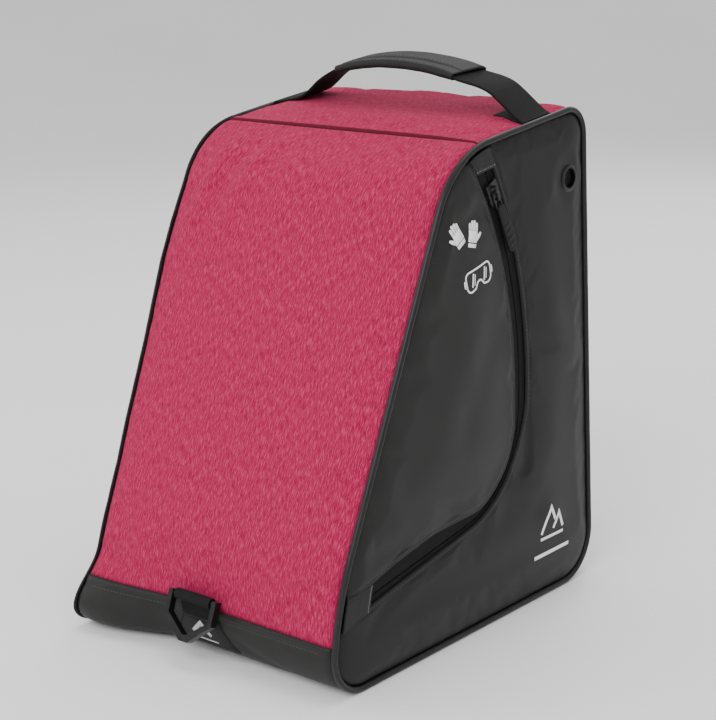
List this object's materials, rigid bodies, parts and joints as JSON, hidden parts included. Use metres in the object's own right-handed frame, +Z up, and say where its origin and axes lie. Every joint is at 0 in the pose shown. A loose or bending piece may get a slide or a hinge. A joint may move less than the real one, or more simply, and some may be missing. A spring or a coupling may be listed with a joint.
{
  "type": "ski boot bag",
  "caption": "Wedge-shaped soft bag for a pair of ski boots, with a rear zip door, zipped side pockets, a carrying handle and strap rings.",
  "frame": {"origin": "middle of the flat base, on the floor", "axes": "+Z up, -Y towards the sloping front, +X towards the side that is on the right from the front"},
  "size_m": [0.2638, 0.3527, 0.4271],
  "materials": {
    "rose_fabric": "matt heather weave, padded",
    "tarpaulin": "coated fabric with a soft satin sheen",
    "lining": "matt woven lining",
    "board": "matt stiffener board",
    "webbing": "ribbed webbing",
    "piping": "satin bound cord",
    "zip_tape": "fine woven tape",
    "zip_coil": "nylon coil",
    "zip_metal": "dark lacquered zinc",
    "eyelet_metal": "black lacquered rim",
    "mesh": "fine black mesh",
    "ring_plastic": "moulded black plastic",
    "pull_plastic": "moulded black tab",
    "rubber": "matt moulded patch"
  },
  "bodies": {
    "root": {"front_panel": "rose_fabric", "top_panel": "rose_fabric", "front_band": "tarpaulin", "base_panel": "tarpaulin", "base_board": "board", "back_band": "tarpaulin", "back_frame": "tarpaulin", "side_panel_right": "tarpaulin", "side_panel_left": "tarpaulin", "pocket_panel_right": "tarpaulin", "pocket_panel_left": "tarpaulin", "side_lining_right": "lining", "side_lining_left": "lining", "piping_right": "piping", "piping_left": "piping", "pocket_zip_tape_right": "zip_tape", "pocket_zip_tape_left": "zip_tape", "pocket_zip_coil_right": "zip_coil", "pocket_zip_coil_left": "zip_coil", "zip_tab_top_right": "tarpaulin", "zip_tab_top_left": "tarpaulin", "zip_tab_bottom_right": "tarpaulin", "zip_tab_bottom_left": "tarpaulin", "eyelet_right": "eyelet_metal", "eyelet_left": "eyelet_metal", "eyelet_mesh_right": "mesh", "eyelet_mesh_left": "mesh", "handle_anchor_right": "webbing", "handle_anchor_left": "webbing", "front_ring_tab": "webbing", "front_patch": "rubber", "rear_ring_tab": "webbing", "main_zip_tape": "zip_tape", "main_zip_coil": "zip_coil", "zip_end_stops": "zip_metal"},
    "door": {"door_panel": "tarpaulin", "door_lining": "lining", "door_zip_tape": "zip_tape", "door_zip_coil": "zip_coil"},
    "handle": {"handle_webbing": "webbing", "handle_grip": "tarpaulin"},
    "front_ring": {"front_ring": "ring_plastic"},
    "rear_ring": {"rear_ring": "ring_plastic"},
    "main_slider_right": {"main_slider_right": "zip_metal"},
    "main_pull_right": {"main_pull_link_right": "zip_metal", "main_pull_tab_right": "pull_plastic"},
    "pocket_slider_right": {"pocket_slider_right": "zip_metal"},
    "pocket_pull_right": {"pocket_pull_link_right": "zip_metal", "pocket_pull_tab_right": "pull_plastic"},
    "main_slider_left": {"main_slider_left": "zip_metal"},
    "main_pull_left": {"main_pull_link_left": "zip_metal", "main_pull_tab_left": "pull_plastic"},
    "pocket_slider_left": {"pocket_slider_left": "zip_metal"},
    "pocket_pull_left": {"pocket_pull_link_left": "zip_metal", "pocket_pull_tab_left": "pull_plastic"}
  },
  "joints": [
    {"name": "door_fold", "type": "hinge", "parent": "root", "child": "door", "pos_m": [0, 0.16506, 0.04743], "axis": [-1, 0, 0], "range_deg": [0, 92]},
    {"name": "handle_tilt", "type": "hinge", "parent": "root", "child": "handle", "pos_m": [0, 0.07304, 0.39713], "axis": [1, 0, 0], "range_deg": [-45, 45]},
    {"name": "front_ring_swing", "type": "hinge", "parent": "root", "child": "front_ring", "pos_m": [0, -0.172, 0.05], "axis": [-1, 0, 0], "range_deg": [-20, 130]},
    {"name": "rear_ring_swing", "type": "hinge", "parent": "root", "child": "rear_ring", "pos_m": [0, 0.145, 0.368], "axis": [1, 0, 0], "range_deg": [0, 150]},
    {"name": "main_slide_right", "type": "hinge", "parent": "door", "child": "main_slider_right", "pos_m": [0, 0.15446, 0.15893], "axis": [0, 0.9963, 0.0857], "range_deg": [0, 22]},
    {"name": "main_pull_swing_right", "type": "hinge", "parent": "main_slider_right", "child": "main_pull_right", "pos_m": [0.01005, 0.14576, 0.31846], "axis": [1, 0, 0], "range_deg": [0, 140]},
    {"name": "pocket_slide_right", "type": "hinge", "parent": "root", "child": "pocket_slider_right", "pos_m": [0, -0.303, 0.168], "axis": [1, 0, 0], "range_deg": [-26, 0]},
    {"name": "pocket_pull_swing_right", "type": "hinge", "parent": "pocket_slider_right", "child": "pocket_pull_right", "pos_m": [0.12925, 0.0131, 0.33607], "axis": [0, -0.8829, -0.4695], "range_deg": [0, 150]},
    {"name": "main_slide_left", "type": "hinge", "parent": "door", "child": "main_slider_left", "pos_m": [0, 0.15446, 0.15893], "axis": [0, -0.9963, -0.0857], "range_deg": [0, 22]},
    {"name": "main_pull_swing_left", "type": "hinge", "parent": "main_slider_left", "child": "main_pull_left", "pos_m": [-0.01005, 0.14576, 0.31846], "axis": [1, 0, 0], "range_deg": [0, 140]},
    {"name": "pocket_slide_left", "type": "hinge", "parent": "root", "child": "pocket_slider_left", "pos_m": [0, -0.303, 0.168], "axis": [1, 0, 0], "range_deg": [-26, 0]},
    {"name": "pocket_pull_swing_left", "type": "hinge", "parent": "pocket_slider_left", "child": "pocket_pull_left", "pos_m": [-0.12925, 0.0131, 0.33607], "axis": [0, 0.8829, 0.4695], "range_deg": [0, 150]}
  ]
}
